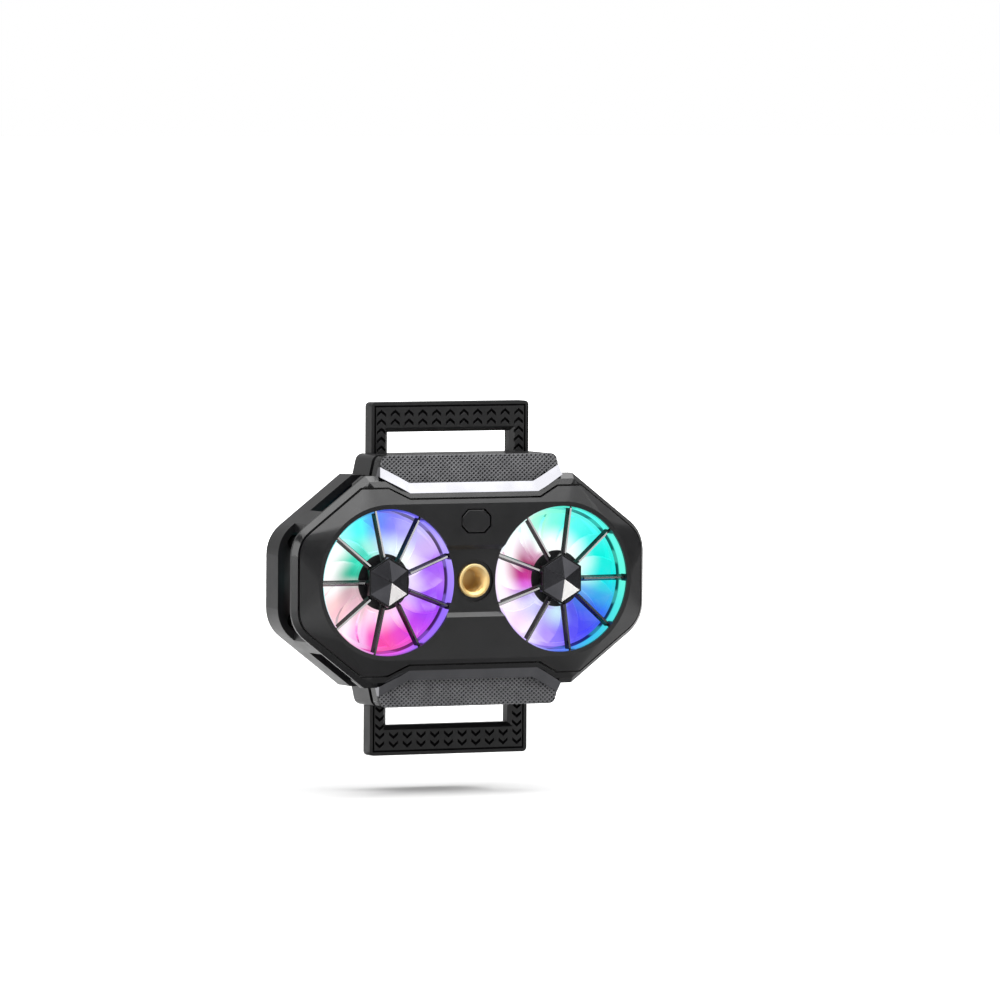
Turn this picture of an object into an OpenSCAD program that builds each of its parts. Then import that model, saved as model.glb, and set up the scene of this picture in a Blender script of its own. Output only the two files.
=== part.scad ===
// Clip-on cooling fan: two lit fans, a Peltier stack and two sprung clamp arms.
// X is to the right, the fans face -Y, Z is up. The origin is the middle of the cold face.

/* [Body] */
// Width over the rounded ends
body_w = 87.6; // [84:0.2:96]
// Depth from the fan rims to the cold face
body_d = 18.4; // [18.4:0.2:22]
// Half width at the corners where the sloped sides start
apex_x = 25.8; // [25:0.1:28]
// Half height at those corners
apex_z = 23.5; // [23.2:0.1:25]
// Slope of the four sloped sides, from the horizontal
slope_deg = 37; // [35:0.5:40]
// Radius of the end corners
end_r = 8; // [6:0.5:9]
// Thickness of the side walls
wall = 1.6; // [1.2:0.1:2]
// Half height over the top and bottom shoulders
shoulder_z = 28; // [27.6:0.1:30]
// Half width of a shoulder at its outer edge
shoulder_x = 21.6; // [21.3:0.1:23]
// Widening of a shoulder end for each mm towards the middle
shoulder_draft = 0.23; // [0.1:0.01:0.3]
// Radius of the shoulders' outer corners
shoulder_r = 1.8; // [1.7:0.1:2]
// Depth of the side band of the front cover
band_depth = 4.4; // [4.2:0.1:5]
// Depth at which the exhaust slots end
vent_depth = 10.6; // [9.8:0.1:11]
// Inner edge of the posts between the exhaust slots
post_x = 36; // [35:0.5:37]
// Width of those posts along X
post_w = 3.7; // [2:0.1:4]
// Depth of the joint groove on the shoulders
shoulder_joint = 6.9; // [6.5:0.1:7.4]
// Width of the joint groove on the shoulders
joint_w = 1.4; // [0.8:0.1:1.6]
// Depth of the floor between the heat sink and the arms
floor_depth = 12.5; // [12.5:0.1:12.8]
// Thickness of that floor
floor_t = 0.6; // [0.4:0.1:0.6]
// Thickness of the back plate
back_t = 1.2; // [1:0.1:1.4]
// Inset of the back plate from the outline
back_inset = 1.3; // [1:0.1:1.6]

/* [Fascia] */
// Inset of the groove round the fascia
groove_in = 1.2; // [1:0.1:1.5]
// Width of the groove
groove_w = 0.4; // [0.2:0.1:0.6]
// Half height of the fascia
fascia_z = 20.85; // [20.5:0.05:21.2]
// Half height of the fascia between its notch corners
notch_z = 18.45; // [18.3:0.05:18.8]
// Half width of the notch floor
notch_x = 16.2; // [15:0.1:17]
// Half width of the notch mouth
notch_mouth_x = 21; // [20:0.1:22]
// Depth of the fascia's outer edge
rim_depth = 2.3; // [2:0.1:2.5]
// Depth at which the rim's bevel reaches the side band
bevel_depth = 3.8; // [3.4:0.1:4.1]
// Depth of the fascia's back face
fascia_back = 2.9; // [2.8:0.1:3]
// Width of the lip round each fan opening
lip_w = 1; // [0.6:0.1:1]
// Half height of the sunken strip's floor between the fans
strip_z = 7; // [5:0.1:7.5]
// Depth of that strip
strip_depth = 0.9; // [0.4:0.1:1]
// Run of the strip's sloped walls
strip_run = 1; // [0.4:0.1:1.2]

/* [Grips] */
// Depth of the grip pads' face
pad_depth = 3.6; // [3.4:0.1:3.8]
// Thickness of the grip pads
pad_t = 1; // [0.6:0.1:1.1]
// Half width of a pad's inner edge
pad_x = 15.4; // [14:0.1:16]
// Half height of a pad's inner edge
pad_z = 21.85; // [21.6:0.05:22.2]
// Slope of a pad's slanted sides, from the horizontal
pad_slope_deg = 27.7; // [24:0.1:30]
// Depth of the bevel's foot, beside a pad
bevel_foot = 2.7; // [2.5:0.1:3]
// Run of the bevel round a pad for each mm of depth
bevel_run = 1.34; // [1.1:0.02:1.4]

/* [Fans] */
// Half the distance between the fan axes
fan_x = 21.5; // [21.5:0.1:22]
// Radius of a fan opening
fan_r = 16.3; // [15.9:0.1:16.3]
// Radius over an impeller's blades
blade_r = 14.7; // [13:0.1:14.7]
// Number of blades
blade_count = 13; // [9:1:15]
// Thickness of a blade
blade_t = 0.7; // [0.5:0.05:1]
// Blade angle from the fan plane at the hub
blade_root_deg = 41; // [40:1:50]
// Blade angle from the fan plane at the tip
blade_tip_deg = 25; // [25:1:36]
// Sweep of a blade from root to tip
blade_sweep_deg = 16; // [0:1:24]
// Wall of the ring over the blade tips
tip_ring = 0.6; // [0.4:0.1:0.7]
// Radius of the rotor hub
hub_r = 6.3; // [5.8:0.1:6.6]
// Wall of the rotor hub
hub_wall = 0.8; // [0.6:0.1:1]
// Wall of the impeller's inner ring
impeller_ring = 0.7; // [0.5:0.1:1]
// Depth of the impeller's front edge
impeller_front = 3; // [2.9:0.1:3.3]
// Depth of the impeller's back edge
impeller_back = 7.6; // [6.8:0.1:7.6]
// Radius of the shaft
shaft_r = 1; // [0.75:0.05:1.1]
// Running gap round the shaft
shaft_gap = 0.03; // [0.01:0.01:0.06]
// Radius of the bearing
bearing_r = 1.9; // [1.7:0.1:2]
// Radius of the tube that holds the bearing
tube_r = 2.7; // [2.5:0.1:2.8]
// Radius of the stator
stator_r = 4.3; // [4:0.1:4.4]
// Thickness of the rotor magnet
magnet_t = 0.8; // [0.5:0.1:0.9]
// Wall of the light ring
ring_wall = 1.2; // [0.8:0.1:1.2]
// Depth of the light ring's front edge between the spokes
sleeve_front = 0.5; // [0.3:0.1:1]
// Wall of the light ring between the spokes
sleeve_wall = 0.35; // [0.25:0.05:0.5]
// Thickness of the LED board
led_board_t = 0.8; // [0.6:0.1:0.8]
// Number of LEDs on each board
led_count = 8; // [4:1:12]
// Depth of the light ring's back edge
ring_back = 8.3; // [8.2:0.1:8.4]

/* [Grille] */
// Number of spokes
spoke_count = 9; // [7:1:11]
// Width of a spoke
spoke_w = 1.3; // [0.9:0.1:1.6]
// Height of a spoke's ridge over its base
spoke_h = 1.2; // [0.8:0.1:1.2]
// Thickness of the grille ring
grille_t = 1.2; // [0.9:0.1:1.2]
// Radius of the hub cap over its corners
cap_r = 5.2; // [4.6:0.1:5.4]
// Height of the hub cap's point
cap_h = 1.5; // [1:0.1:2]
// Margin of the hub seat round the cap
cap_margin = 0.4; // [0.2:0.1:0.6]

/* [Insert and button] */
// Radius of the thread's bore
thread_r = 2.55; // [2.4:0.05:2.7]
// Radius of the insert's body
insert_r = 3.4; // [3.2:0.05:3.5]
// Radius of the insert's flange
flange_r = 3.75; // [3.6:0.05:3.8]
// Depth of the insert's face
insert_depth = 0.6; // [0.5:0.1:0.7]
// Length of the insert
insert_l = 6; // [5:0.1:6]
// Radius of the sunken ring round the insert
insert_recess_r = 4.7; // [4.2:0.1:4.8]
// Width of the button
button_w = 6.9; // [5:0.1:7.5]
// Height of the button
button_h = 5; // [4:0.1:5.6]
// Height of the button's middle
button_z = 13.3; // [13:0.1:13.5]
// Gap round the button
button_gap = 0.25; // [0.1:0.05:0.3]
// Travel of the button
button_travel = 0.6; // [0.3:0.1:0.6]

/* [Thermal stack] */
// Half length of the heat sink
sink_x = 36; // [33:0.5:36]
// Half height of the heat sink
sink_z = 16.3; // [15:0.1:16.4]
// Thickness of the heat sink's base
sink_base = 0.8; // [0.6:0.1:1]
// Pitch of the fins
fin_pitch = 2.4; // [2:0.1:3]
// Thickness of the fins
fin_t = 0.7; // [0.4:0.1:0.9]
// Side of the Peltier module
tec_w = 23; // [20:0.5:23]
// Width of the cold plate's face
cold_w = 26.2; // [24:0.1:26.4]
// Height of the cold plate's face
cold_h = 30.2; // [26:0.1:32]
// Thickness of the thermal pad
thermal_t = 0.5; // [0.3:0.1:0.6]
// Thickness of the cold plate's flange
cold_flange_t = 0.8; // [0.6:0.1:1]

/* [Clamp] */
// Half width of a clamp arm
arm_x = 19.6; // [19:0.1:20]
// Width of an arm's leg
leg_w = 4.4; // [3.8:0.1:4.4]
// Thickness of an arm
arm_t = 3.2; // [2.8:0.1:3.2]
// Distance from the middle to an arm's outer edge
arm_out = 39.4; // [39:0.1:44]
// Height of the crossbar
crossbar_h = 6.7; // [6:0.1:7]
// Bevel round the window in an arm
window_bevel = 1; // [0.5:0.1:1.2]
// Distance from the middle to a leg's inner end
leg_in = 11.5; // [10:0.1:12]
// Width of the stop on a leg's inner end
stop_w = 1.2; // [0.8:0.1:1.4]
// Height of that stop
stop_h = 2; // [1.5:0.1:2.5]
// Half width of a hook
hook_x = 13; // [10:0.5:13]
// Half the gap between the hooks' pads
jaw_half = 35.75; // [35:0.05:37]
// Thickness of the hook pads
hook_pad_t = 0.75; // [0.5:0.05:0.9]
// Thickness of a hook's wall
hook_t = 1.9; // [1.6:0.1:2.2]
// Reach of a hook behind the cold face
hook_reach = 8.4; // [7:0.1:12]
// Thickness of a hook's lip
lip_t = 1.8; // [1.4:0.1:2.4]
// Depth of a hook's lip past the pads
lip_catch = 1.6; // [1:0.1:2]
// Outward travel of an arm
arm_open = 8.2; // [4:0.1:8.2]
// Sliding gap round an arm
arm_gap = 0.2; // [0.15:0.05:0.3]
// Mean radius of a clamp spring
spring_r = 1.1; // [0.9:0.05:1.2]
// Radius of the spring wire
wire_r = 0.2; // [0.15:0.01:0.22]
// Turns of a clamp spring
spring_turns = 20; // [12:1:24]
// Radius of the post that holds the springs
anchor_r = 1; // [0.8:0.1:1.2]

/* [Electronics] */
// Half width of the control board
board_x = 7.6; // [6.9:0.1:7.8]
// Bottom edge of the control board
board_z0 = 10.9; // [10.8:0.1:11]
// Top edge of the control board
board_z1 = 19.6; // [18.7:0.1:20]
// Thickness of the boards
board_t = 0.8; // [0.6:0.1:1]
// Depth of the control board's face
board_depth = 6; // [5.9:0.1:6.4]
// Width of the USB socket
usb_w = 8.94; // [8.9:0.02:9]
// Height of the USB socket
usb_h = 3.2; // [3.1:0.02:3.2]
// Length of the USB socket
usb_l = 7.2; // [6.8:0.1:7.4]
// Wall of the USB socket's shell
usb_wall = 0.3; // [0.2:0.05:0.35]

/* [Fasteners] */
// X of the case screws
screw_x = 38.8; // [38.6:0.1:39]
// Height of the case screws
screw_z = 8.6; // [8.5:0.1:8.8]
// Radius of the screw shanks
screw_r = 0.8; // [0.6:0.05:0.85]
// Radius of the screw heads
screw_head_r = 1.5; // [1.3:0.05:1.6]
// Radius of the cover's screw bosses
boss_r = 1.7; // [1.5:0.05:1.75]
// Clearance round shanks, heads and windows
fit_gap = 0.15; // [0.1:0.05:0.2]

/* [Hidden] */
$fn = 72;
hull_fn = 32;
skin = 0.02;
over = 1;

// Body width, blade radius and arm reach as drawn. What lies beside a changed one moves with it
drawn = [87.6, 14.7, 39.4];
end_shift = (body_w - drawn[0]) / 2;
tip_shift = blade_r - drawn[1];
arm_shift = arm_out - drawn[2];
half_w = body_w / 2 + 2 * tip_shift;
apex_at_x = apex_x + tip_shift + max(end_shift, 0);
apex_at_z = apex_z + tip_shift;
shoulder_top = shoulder_z + tip_shift;
fascia_top = fascia_z + tip_shift;
notch_top = notch_z + tip_shift;
pad_top = pad_z + tip_shift;
fan_at = fan_x + tip_shift + end_shift / 2;
open_r = fan_r + tip_shift + end_shift / 2;
tip_r = blade_r + end_shift / 2;
screw_at = screw_x + 2 * tip_shift + end_shift;
post_at = post_x + 2 * tip_shift + end_shift;
sink_at = sink_x + 2 * tip_shift + end_shift;
jaw_at = jaw_half + arm_shift;

// The sloped sides lie at a fixed distance from the middle, along their normal
slope_c = apex_at_x * sin(slope_deg) + apex_at_z * cos(slope_deg);
end_cx = half_w - end_r;
end_cz = (slope_c - end_r - end_cx * sin(slope_deg)) / cos(slope_deg);
plateau_r = open_r + lip_w;
stack_gap = 0.1;
sleeve_gap = 0.05;
stack_r = plateau_r - stack_gap;
corner_tuck = 0.02;
draft_deg = atan(shoulder_draft);
notch_deg = atan2(fascia_top - notch_top, notch_mouth_x - notch_x);

// Depths behind the fan rims
pocket_depth = 1.5;
ring_front = pocket_depth + grille_t;
frame_front = ring_back + led_board_t;
frame_t = 0.6;
sink_front = frame_front + frame_t;
arm_front = floor_depth + floor_t + arm_gap;
arm_back = arm_front + arm_t;
back_front = arm_back + arm_gap;
back_back = back_front + back_t;
cold_front = back_front - cold_flange_t;
cold_back = body_d - thermal_t;
hub_face_t = 0.7;
hub_floor = impeller_front + hub_face_t;
shaft_seat = 0.4;
shaft_out = 0.8;
shaft_end = impeller_back + shaft_out;
insert_back = insert_depth + insert_l;
seat_depth = pad_depth + pad_t;
roof_t = 1.2;
roof_depth = seat_depth + roof_t;

// Places of the clamp
crossbar_in = arm_out - crossbar_h;
window_x = arm_x - leg_w;
leg_x = arm_x - leg_w / 2;
stop_z = leg_in + stop_h + arm_open + arm_gap;
hook_in = jaw_at + hook_pad_t;
hook_out = hook_in + hook_t;
spring_d = (arm_front + arm_back) / 2;

// Places of the electronics
usb_depth = (arm_front + arm_back) / 2;
usb_sunk = 0.2;
usb_x0 = half_w - usb_sunk - usb_l;
board_foot_in = 8;
board_foot_x = usb_x0 - board_foot_in;
board_foot_z = 5.5;
power_board_gap = 2.8;
power_board_x = arm_x + stop_w + power_board_gap;
power_board_z = 8;
chip_t = 0.9;
switch_t = 1;
switch_front = board_depth - switch_t;
plunger_t = 0.3;
plunger_front = switch_front - plunger_t;
stem_gap = 0.1;
stem_back = plunger_front - button_travel - stem_gap;

// Shapes that repeat

// A flat shape drawn in X and Z, filled from one depth to another
module slab(d0, d1) {
    translate([0, d1 - body_d, 0])
        rotate([90, 0, 0])
            linear_extrude(d1 - d0)
                children();
}

module both_sides() {
    children();
    mirror([1, 0, 0]) children();
}

module above_and_below() {
    children();
    mirror([0, 0, 1]) children();
}

module ring2d(r_out, r_in) {
    difference() {
        circle(r_out);
        circle(r_in);
    }
}

module at_fan(side) {
    translate([side * fan_at, 0, 0])
        mirror([side > 0 ? 1 : 0, 0, 0])
            children();
}

// Rounded rectangle made of a cross and four corner circles
module rounded2d(w, h, r) {
    square([w - 2 * r, h], center = true);
    square([w, h - 2 * r], center = true);
    for (x = [-1, 1], z = [-1, 1])
        translate([x * (w / 2 - r), z * (h / 2 - r)]) circle(r);
}

function slope_x(inset, z) = (slope_c - inset - z * cos(slope_deg)) / sin(slope_deg);

// Right upper part of the outline, inset, up to a given height
function side_points(inset, z) = [
    [half_w - inset, end_cz],
    [end_cx + (end_r - inset) * sin(slope_deg), end_cz + (end_r - inset) * cos(slope_deg)],
    [slope_x(inset, z), z]];

// A list of points in the right upper quarter, mirrored into a closed outline
function four_way(q) = let (n = len(q)) concat(
    q,
    [for (i = [n - 1:-1:0]) [-q[i][0], q[i][1]]],
    [for (i = [0:n - 1]) [-q[i][0], -q[i][1]]],
    [for (i = [n - 1:-1:0]) [q[i][0], -q[i][1]]]);

module end_circles(inset) {
    for (x = [-1, 1], z = [-1, 1])
        translate([x * end_cx, z * end_cz]) circle(end_r - inset - corner_tuck);
}

module outline2d(inset) {
    polygon(four_way(side_points(inset, apex_at_z - inset)));
    end_circles(inset);
}

function shoulder_edge(z) = shoulder_x + (shoulder_top - z) * shoulder_draft;

// Middle of the arc that rounds a shoulder's corner
function shoulder_arc(inset) = let (z = shoulder_top - shoulder_r)
    [shoulder_edge(z) - inset - (shoulder_r - inset) / cos(draft_deg), z];

// Where the shoulder's end and top meet that arc
function shoulder_points(inset) = let (mid = shoulder_arc(inset), r = shoulder_r - inset) [
    [mid[0] + r * cos(draft_deg), mid[1] + r * sin(draft_deg)],
    [mid[0], shoulder_top - inset]];

module shoulder_circles(inset) {
    mid = shoulder_arc(inset);
    for (x = [-1, 1], z = [-1, 1])
        translate([x * mid[0], z * mid[1]]) circle(shoulder_r - inset - corner_tuck);
}

module shoulders2d(inset) {
    foot = apex_at_z - wall;
    polygon(four_way(concat([[shoulder_edge(foot) - inset, foot]], shoulder_points(inset))));
    shoulder_circles(inset);
}

module body2d(inset) {
    foot = apex_at_z - inset;
    polygon(four_way(concat(side_points(inset, foot),
        [[shoulder_edge(foot) - inset, foot]], shoulder_points(inset))));
    end_circles(inset);
    shoulder_circles(inset);
}

// The shoulders' own walls, without the octagon between them
module shoulder_walls2d(outer, inner) {
    difference() {
        shoulders2d(outer);
        shoulders2d(inner);
        outline2d(wall);
    }
}

// The fascia's outline, drawn in or out from the middle of its groove
module fascia2d(shift) {
    corner = shift * (1 - cos(notch_deg)) / sin(notch_deg);
    polygon(four_way(concat(side_points(groove_in + shift, fascia_top - shift), [
        [notch_mouth_x + corner, fascia_top - shift],
        [notch_x + corner, notch_top - shift]])));
    end_circles(groove_in + shift);
}

module plateau2d() {
    square([2 * fan_at, 2 * plateau_r], center = true);
    for (x = [-1, 1]) translate([x * fan_at, 0]) circle(plateau_r);
}

// The sloped front: a flat plateau round the fans that falls to the rim and the side band
module front_form() {
    hull($fn = hull_fn) {
        slab(0, skin) plateau2d($fn = 2 * hull_fn);
        slab(rim_depth, rim_depth + skin) outline2d(groove_in, $fn = hull_fn);
        slab(bevel_depth, band_depth) outline2d(0, $fn = hull_fn);
    }
}

// Upper grip pad and the bevelled cut that it lies in
pad_cut_over = 3;
pad_cut_z = shoulder_top + pad_cut_over;
cut_up = 5;
cut_run = cut_up * bevel_run;
cut_corner = cut_run * (1 - cos(pad_slope_deg)) / sin(pad_slope_deg);

module pad_cut2d(run, corner) {
    x1 = pad_x + corner + (pad_cut_z - pad_top + run) / tan(pad_slope_deg);
    polygon([[-pad_x - corner, pad_top - run], [pad_x + corner, pad_top - run],
        [x1, pad_cut_z], [-x1, pad_cut_z]]);
}

module pad2d() {
    intersection() {
        shoulders2d(0);
        pad_cut2d(0, 0);
    }
}

module pad_cut() {
    hull() {
        slab(bevel_foot, bevel_foot + skin) pad_cut2d(0, 0);
        slab(bevel_foot - cut_up, bevel_foot - cut_up + skin) pad_cut2d(cut_run, cut_corner);
    }
    slab(bevel_foot, seat_depth) pad_cut2d(0, 0);
}

module screw_places() {
    for (x = [-1, 1], z = [-1, 1])
        translate([x * screw_at, z * screw_z]) children();
}

// Casing

boss_rib_deg = 32;
boss_rib_l = 4;
rib_inset = 1;
boss_flare = 0.2;
screw_grip = 4;
screw_pilot = 4.5;
screw_head_t = 0.9;
screw_slot = [1.8, 0.4];
screw_slot_deep = 0.5;
ledge_w = 0.9;
flange_t = 0.8;
sleeve_t = 0.7;
button_step = 0.8;
board_post_in = 1.2;
board_post_down = 3.2;
board_post_r = 0.9;
board_foot_r = 1.2;
joint_deep = 0.9;
guide_t = 0.9;
guide_lead = 3;
roof_lap = 1;

module front_cover() {
    color("#29292b") {
        difference() {
            front_form();
            slab(-over, fascia_back) fascia2d(-groove_w / 2);
            slab(fascia_back - skin, band_depth + over) fascia2d(ledge_w);
            above_and_below() pad_cut();
        }
        above_and_below() shoulder_roof();
        slab(roof_depth, shoulder_joint) shoulder_walls2d(0, wall);
        difference() {
            union() {
                slab(fascia_back, floor_depth) screw_places() circle(boss_r);
                slab(fascia_back, band_depth) boss_ribs2d();
            }
            slab(floor_depth - screw_pilot, floor_depth + over) screw_places() circle(screw_r);
        }
    }
}

// Ribs that tie the screw bosses to the rim
module boss_ribs2d() {
    intersection() {
        outline2d(rib_inset);
        for (x = [0, 1], z = [0, 1])
            mirror([x, 0]) mirror([0, z]) translate([screw_at, screw_z])
                rotate(boss_rib_deg) translate([0, -boss_r / 2]) square([boss_rib_l, boss_r]);
    }
}

// Plate under a grip pad and the bar that joins it to the rim
module shoulder_roof() {
    roof_z = notch_top + roof_lap;
    slab(seat_depth, roof_depth) intersection() {
        body2d(0);
        translate([-shoulder_edge(0), roof_z]) square([2 * shoulder_edge(0), shoulder_top]);
    }
    slab(bevel_depth, seat_depth) intersection() {
        outline2d(0);
        translate([-pad_x, roof_z]) square([2 * pad_x, pad_top - roof_z]);
    }
}

// Shallow channel with sloped walls that joins the two fan openings
module strip_cut() {
    mouth = strip_z + strip_run;
    translate([-fan_at, -body_d, 0]) rotate([90, 0, 90]) linear_extrude(2 * fan_at)
        polygon([[strip_depth, strip_z], [0, mouth], [-over, mouth],
            [-over, -mouth], [0, -mouth], [strip_depth, -strip_z]]);
}

module fascia() {
    color("#303033") {
        difference() {
            intersection() {
                front_form();
                slab(-over, fascia_back) fascia2d(groove_w / 2);
            }
            both_sides() translate([fan_at, 0, 0]) {
                slab(-over, fascia_back + over) circle(open_r);
                slab(pocket_depth, fascia_back + over) circle(plateau_r);
            }
            strip_cut();
            slab(-over, insert_depth + flange_t) circle(insert_recess_r);
            slab(-over, fascia_back + over) circle(insert_r);
            slab(-over, fascia_back + over) button2d(button_gap);
            slab(pocket_depth, fascia_back + over) button2d(button_gap + button_step);
        }
        slab(fascia_back - skin, insert_back + skin) ring2d(insert_r + sleeve_t, insert_r);
        slab(insert_back, insert_back + sleeve_t) circle(insert_r + sleeve_t);
        slab(fascia_back - skin, board_depth) for (x = [-1, 1])
            translate([x * (board_x - board_post_in), board_z1 - board_post_down]) circle(board_post_r);
    }
}

module rear_housing() {
    color("#242426") difference() {
        union() {
            slab(vent_depth, back_front) difference() {
                body2d(0);
                body2d(wall);
            }
            slab(shoulder_joint + joint_w, vent_depth) shoulder_walls2d(0, wall);
            slab(shoulder_joint, shoulder_joint + joint_w) shoulder_walls2d(joint_deep, wall);
            slab(band_depth, vent_depth) vent_posts2d();
            slab(floor_depth, floor_depth + floor_t) body2d(wall / 2);
            slab(floor_depth, back_front) screw_places() circle(boss_r + boss_flare);
            above_and_below() slab(floor_depth, back_front) both_sides() arm_guides2d();
            slab(floor_depth, back_front) for (x = [-1, 1]) translate([x * leg_x, 0]) circle(anchor_r);
            slab(floor_depth, usb_depth - board_t / 2) for (z = [-1, 1])
                translate([board_foot_x, z * board_foot_z]) circle(board_foot_r);
        }
        slab(floor_depth - over, back_front) square(tec_w + 4 * fit_gap, center = true);
        slab(floor_depth - over, back_front + over) screw_places() circle(screw_r + fit_gap);
        above_and_below() slab(floor_depth + floor_t, back_front + over) both_sides()
            translate([window_x - arm_gap, shoulder_top - wall - over])
                square([leg_w + 2 * arm_gap, wall + 2 * over]);
        translate([half_w - wall - over, usb_depth - body_d, 0]) rotate([90, 0, 90])
            linear_extrude(wall + 2 * over)
                rounded2d(usb_h + 2 * fit_gap, usb_w + 2 * fit_gap, usb_h / 2);
    }
}

// Posts that carry the front cover between the exhaust slots
module vent_posts2d() {
    intersection() {
        difference() {
            outline2d(0);
            outline2d(wall);
        }
        for (x = [-1, 1])
            translate([x * (post_at + post_w / 2), 0]) square([post_w, 2 * apex_at_z], center = true);
    }
}

// Ribs that guide one leg, and the ledge that stops it
module arm_guides2d() {
    top = shoulder_top - wall / 2;
    foot = leg_in + guide_lead;
    translate([window_x - arm_gap - guide_t, foot]) square([guide_t, top - foot]);
    translate([arm_x + arm_gap, stop_z]) square([stop_w + arm_gap, top - stop_z]);
}

module back_plate() {
    color("#2a2a2c") difference() {
        slab(back_front, back_back) body2d(back_inset);
        slab(back_front - over, back_back + over)
            square([cold_w + 2 * fit_gap, cold_h + 2 * fit_gap], center = true);
        slab(back_front - over, back_back + over) screw_places() circle(screw_r + fit_gap);
        slab(back_back - screw_head_t, back_back + over) screw_places() circle(screw_head_r + fit_gap);
    }
}

module case_screws() {
    head_front = back_back - screw_head_t;
    color("#1e1e20") {
        slab(floor_depth - screw_grip, head_front) screw_places() circle(screw_r);
        slab(head_front, back_back) screw_places() difference() {
            circle(screw_head_r);
            for (turn = [0, 90]) rotate(turn) square(screw_slot, center = true);
        }
        slab(head_front, back_back - screw_slot_deep) screw_places() circle(screw_head_r);
    }
}

module grip_pad() {
    color("#1b1b1c") slab(pad_depth, seat_depth) pad2d();
}

module upper_grip_pad() grip_pad();

module lower_grip_pad() mirror([0, 0, 1]) grip_pad();

// Grilles

hub_seat_front = 0.2;
ridge_sunk = 0.1;
spoke_lap = 1;

// One roof-shaped spoke from the ring up to the hub seat, along +X
module spoke() {
    inner = cap_r - spoke_lap;
    outer = open_r + lip_w / 3;
    d_in = hub_seat_front + ridge_sunk - body_d;
    d_out = pocket_depth - ridge_sunk - body_d;
    w = spoke_w / 2;
    polyhedron(
        points = [[inner, d_in, 0], [inner, d_in + spoke_h, w], [inner, d_in + spoke_h, -w],
            [outer, d_out, 0], [outer, d_out + spoke_h, w], [outer, d_out + spoke_h, -w]],
        faces = [[0, 2, 1], [3, 4, 5], [0, 1, 4, 3], [1, 2, 5, 4], [2, 0, 3, 5]]);
}

module grille(side) {
    color("#1a1a1c") at_fan(side) {
        slab(pocket_depth, ring_front) ring2d(stack_r, open_r);
        for (i = [0:spoke_count - 1]) rotate([0, 180 + i * 360 / spoke_count, 0]) spoke();
        slab(hub_seat_front, pocket_depth) rotate(90) circle(cap_r + cap_margin, $fn = 6);
    }
}

module left_grille() grille(-1);

module right_grille() grille(1);

module hub_cap(side) {
    color("#3a3a3d") at_fan(side)
        translate([0, hub_seat_front - body_d, 0]) rotate([90, 30, 0])
            cylinder(h = cap_h, r1 = cap_r, r2 = 0, $fn = 6);
}

module left_hub_cap() hub_cap(-1);

module right_hub_cap() hub_cap(1);

// Fans

// Clear ring behind the grille, with a sleeve between the spokes that lights the rim
module light_ring(side) {
    sleeve_r = open_r - sleeve_gap;
    slot = [2 * sleeve_wall + over, spoke_w + 2 * fit_gap];
    color("#e8f4f6") at_fan(side) {
        slab(ring_front, ring_back) ring2d(stack_r, stack_r - ring_wall);
        slab(sleeve_front, ring_front + skin) difference() {
            ring2d(sleeve_r, sleeve_r - sleeve_wall);
            for (i = [0:spoke_count - 1]) rotate(180 + i * 360 / spoke_count)
                translate([sleeve_r - sleeve_wall / 2, 0]) square(slot, center = true);
        }
    }
}

module left_light_ring() light_ring(-1);

module right_light_ring() light_ring(1);

led = [0.8, 1.6];
led_t = 0.5;

module led_board(side) {
    led_r = stack_r - ring_wall - led[0];
    color("#f0f0ea") at_fan(side) {
        slab(ring_back, frame_front) ring2d(stack_r, led_r - led[0]);
        slab(ring_back - led_t, ring_back) for (i = [0:led_count - 1])
            rotate((i + 0.5) * 360 / led_count) translate([led_r, 0]) square(led, center = true);
    }
}

module left_led_board() led_board(-1);

module right_led_board() led_board(1);

strut_count = 4;
strut_w = 2;
strut_rise = 0.5;
strut_turn = 45;
frame_lip = 1.3;
frame_in_r = tip_r - frame_lip;
bearing_gap = 1.2;
bearing_front = hub_floor + bearing_gap;
tube_step = 0.1;

module fan_frame(side) {
    color("#1c1c1e") at_fan(side) {
        slab(frame_front, sink_front) ring2d(stack_r, frame_in_r);
        slab(frame_front - strut_rise, sink_front) for (i = [0:strut_count - 1])
            rotate(strut_turn + i * 360 / strut_count) translate([0, -strut_w / 2])
                square([frame_in_r + ledge_w / 2, strut_w]);
        slab(shaft_end, sink_front) circle(hub_r);
        slab(bearing_front + tube_step, shaft_end + skin) ring2d(tube_r, bearing_r);
    }
}

module left_fan_frame() fan_frame(-1);

module right_fan_frame() fan_frame(1);

// One twisted blade, lofted through sections on circles round the axis
blade_steps = 4;
blade_inset = 0.35;
blade_camber = 0.12;
tip_overlap = 0.15;
tip_ring_in = [0.4, 1.4];
tip_ring_front = impeller_front + tip_ring_in[0];
tip_ring_back = impeller_back - tip_ring_in[1];
function mix(a, b, t) = a + (b - a) * t;

function blade_section(t) =
    let (r = mix(hub_r + impeller_ring / 2, tip_r, t),
        pitch = mix(blade_root_deg, blade_tip_deg, t),
        half_h = (impeller_back - impeller_front) / 2 - blade_inset,
        half_chord = half_h / tan(pitch),
        sweep = blade_sweep_deg * t * t,
        off_w = blade_t / 2 * sin(pitch),
        off_h = blade_t / 2 * cos(pitch),
        camber = blade_camber * half_h,
        mid_d = (impeller_front + impeller_back) / 2 - body_d)
    [for (p = [[-1, 1], [0, 1], [1, 1], [1, -1], [0, -1], [-1, -1]])
        let (bow = p[0] == 0 ? camber : 0,
            w = p[0] * half_chord - p[1] * off_w - bow * sin(pitch),
            h = p[0] * half_h + p[1] * off_h + bow * cos(pitch),
            a = sweep + w / r * 180 / PI)
        [r * cos(a), mid_d + h, r * sin(a)]];

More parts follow.
